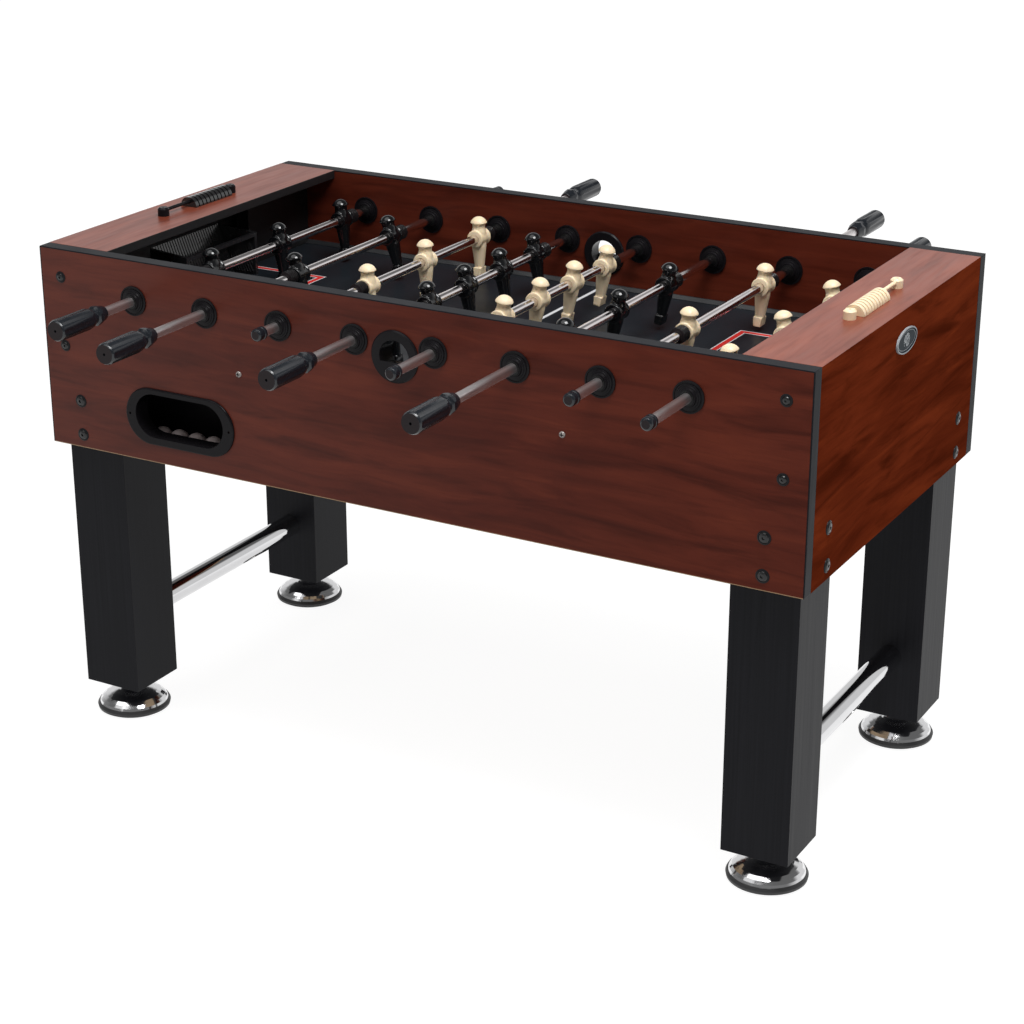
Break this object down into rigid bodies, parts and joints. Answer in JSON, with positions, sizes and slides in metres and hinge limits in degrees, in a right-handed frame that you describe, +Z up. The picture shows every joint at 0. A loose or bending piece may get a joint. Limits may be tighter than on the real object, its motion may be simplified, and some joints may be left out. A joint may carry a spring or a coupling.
{
  "type": "foosball table",
  "caption": "Free-standing table football game: boxed wooden cabinet on square legs, sliding and spinning player rods, ball return and sliding scorers.",
  "frame": {"origin": "on the floor, at the middle of the whole table's box, rods included", "axes": "+X along the table, +Y from the front side (with the ball return) to the back side, +Z up"},
  "size_m": [1.3904, 1.4064, 0.8794],
  "materials": {
    "wood_side": "satin",
    "wood_end": "satin",
    "wood_deck": "satin",
    "edge_band": "matte",
    "black_board": "satin",
    "field": "satin",
    "edge_strip": "matte",
    "black_moulding": "semi-gloss",
    "plain_board": "plain",
    "ball": "satin",
    "nylon": "matte",
    "cream_moulding": "satin",
    "black_bead": "satin",
    "cream_bead": "satin",
    "badge": "brushed",
    "black_laminate": "satin",
    "chrome_tube": "polished",
    "chrome_foot": "polished",
    "chrome_rod": "polished",
    "black_steel": "satin",
    "black_player": "gloss",
    "cream_player": "satin",
    "black_grip": "satin",
    "rubber": "matte"
  },
  "bodies": {
    "cabinet": {"badge": "badge", "ball_return_ramps": "plain_board", "ball_return_tray": "black_moulding", "balls": "ball", "bearing_bushes": "nylon", "bearing_housings": "black_moulding", "bolts": "black_steel", "edge_bands": "edge_band", "end_decks": "wood_deck", "end_panels": "wood_end", "end_walls": "black_board", "goals": "black_moulding", "leg_stretchers": "chrome_tube", "legs": "black_laminate", "playfield": "field", "playfield_ramps": "edge_strip", "scorer_frame_left": "black_moulding", "scorer_frame_right": "cream_moulding", "serve_cups": "black_moulding", "side_panel_back": "wood_side", "side_panel_front": "wood_side"},
    "rod1_stops": {"rod1_bumpers": "rubber"},
    "rod1": {"rod1_shaft": "chrome_rod", "rod1_men": "black_player", "rod1_grip_and_cap": "black_grip"},
    "rod2_stops": {"rod2_bumpers": "rubber"},
    "rod2": {"rod2_shaft": "chrome_rod", "rod2_men": "black_player", "rod2_grip_and_cap": "black_grip"},
    "rod3_stops": {"rod3_bumpers": "rubber"},
    "rod3": {"rod3_shaft": "chrome_rod", "rod3_men": "cream_player", "rod3_grip_and_cap": "black_grip"},
    "rod4_stops": {"rod4_bumpers": "rubber"},
    "rod4": {"rod4_shaft": "chrome_rod", "rod4_men": "black_player", "rod4_grip_and_cap": "black_grip"},
    "rod5_stops": {"rod5_bumpers": "rubber"},
    "rod5": {"rod5_shaft": "chrome_rod", "rod5_men": "cream_player", "rod5_grip_and_cap": "black_grip"},
    "rod6_stops": {"rod6_bumpers": "rubber"},
    "rod6": {"rod6_shaft": "chrome_rod", "rod6_men": "black_player", "rod6_grip_and_cap": "black_grip"},
    "rod7_stops": {"rod7_bumpers": "rubber"},
    "rod7": {"rod7_shaft": "chrome_rod", "rod7_men": "cream_player", "rod7_grip_and_cap": "black_grip"},
    "rod8_stops": {"rod8_bumpers": "rubber"},
    "rod8": {"rod8_shaft": "chrome_rod", "rod8_men": "cream_player", "rod8_grip_and_cap": "black_grip"},
    "leveller_front_left": {"leveller_front_left": "chrome_foot"},
    "leveller_back_left": {"leveller_back_left": "chrome_foot"},
    "leveller_front_right": {"leveller_front_right": "chrome_foot"},
    "leveller_back_right": {"leveller_back_right": "chrome_foot"},
    "beads_left": {"beads_left": "black_bead"},
    "beads_right": {"beads_right": "cream_bead"}
  },
  "joints": [
    {"name": "rod1_slide", "type": "slide", "parent": "cabinet", "child": "rod1_stops", "axis": [0, 1, 0], "range_m": [-0.1445, 0.0345]},
    {"name": "rod1_spin", "type": "hinge", "parent": "rod1_stops", "child": "rod1", "pos_m": [-0.5005, 0, 0.794], "axis": [0, 1, 0], "continuous": true},
    {"name": "rod2_slide", "type": "slide", "parent": "cabinet", "child": "rod2_stops", "axis": [0, 1, 0], "range_m": [-0.192, 0.092]},
    {"name": "rod2_spin", "type": "hinge", "parent": "rod2_stops", "child": "rod2", "pos_m": [-0.3575, 0, 0.794], "axis": [0, 1, 0], "continuous": true},
    {"name": "rod3_slide", "type": "slide", "parent": "cabinet", "child": "rod3_stops", "axis": [0, 1, 0], "range_m": [-0.1885, 0.0225]},
    {"name": "rod3_spin", "type": "hinge", "parent": "rod3_stops", "child": "rod3", "pos_m": [-0.2145, 0, 0.794], "axis": [0, 1, 0], "continuous": true},
    {"name": "rod4_slide", "type": "slide", "parent": "cabinet", "child": "rod4_stops", "axis": [0, 1, 0], "range_m": [-0.0315, 0.0735]},
    {"name": "rod4_spin", "type": "hinge", "parent": "rod4_stops", "child": "rod4", "pos_m": [-0.0715, 0, 0.794], "axis": [0, 1, 0], "continuous": true},
    {"name": "rod5_slide", "type": "slide", "parent": "cabinet", "child": "rod5_stops", "axis": [0, 1, 0], "range_m": [-0.0205, 0.0845]},
    {"name": "rod5_spin", "type": "hinge", "parent": "rod5_stops", "child": "rod5", "pos_m": [0.0715, 0, 0.794], "axis": [0, 1, 0], "continuous": true},
    {"name": "rod6_slide", "type": "slide", "parent": "cabinet", "child": "rod6_stops", "axis": [0, 1, 0], "range_m": [-0.0765, 0.1345]},
    {"name": "rod6_spin", "type": "hinge", "parent": "rod6_stops", "child": "rod6", "pos_m": [0.2145, 0, 0.794], "axis": [0, 1, 0], "continuous": true},
    {"name": "rod7_slide", "type": "slide", "parent": "cabinet", "child": "rod7_stops", "axis": [0, 1, 0], "range_m": [-0.223, 0.061]},
    {"name": "rod7_spin", "type": "hinge", "parent": "rod7_stops", "child": "rod7", "pos_m": [0.3575, 0, 0.794], "axis": [0, 1, 0], "continuous": true},
    {"name": "rod8_slide", "type": "slide", "parent": "cabinet", "child": "rod8_stops", "axis": [0, 1, 0], "range_m": [-0.0785, 0.1005]},
    {"name": "rod8_spin", "type": "hinge", "parent": "rod8_stops", "child": "rod8", "pos_m": [0.5005, 0, 0.794], "axis": [0, 1, 0], "continuous": true},
    {"name": "leveller_front_left_screw_out", "type": "slide", "parent": "cabinet", "child": "leveller_front_left", "axis": [0, 0, -1], "range_m": [0, 0.012]},
    {"name": "leveller_back_left_screw_out", "type": "slide", "parent": "cabinet", "child": "leveller_back_left", "axis": [0, 0, -1], "range_m": [0, 0.012]},
    {"name": "leveller_front_right_screw_out", "type": "slide", "parent": "cabinet", "child": "leveller_front_right", "axis": [0, 0, -1], "range_m": [0, 0.012]},
    {"name": "leveller_back_right_screw_out", "type": "slide", "parent": "cabinet", "child": "leveller_back_right", "axis": [0, 0, -1], "range_m": [0, 0.012]},
    {"name": "beads_left_slide", "type": "slide", "parent": "cabinet", "child": "beads_left", "axis": [0, 1, 0], "range_m": [-0.0614, 0.0034]},
    {"name": "beads_right_slide", "type": "slide", "parent": "cabinet", "child": "beads_right", "axis": [0, 1, 0], "range_m": [-0.0064, 0.0584]}
  ]
}
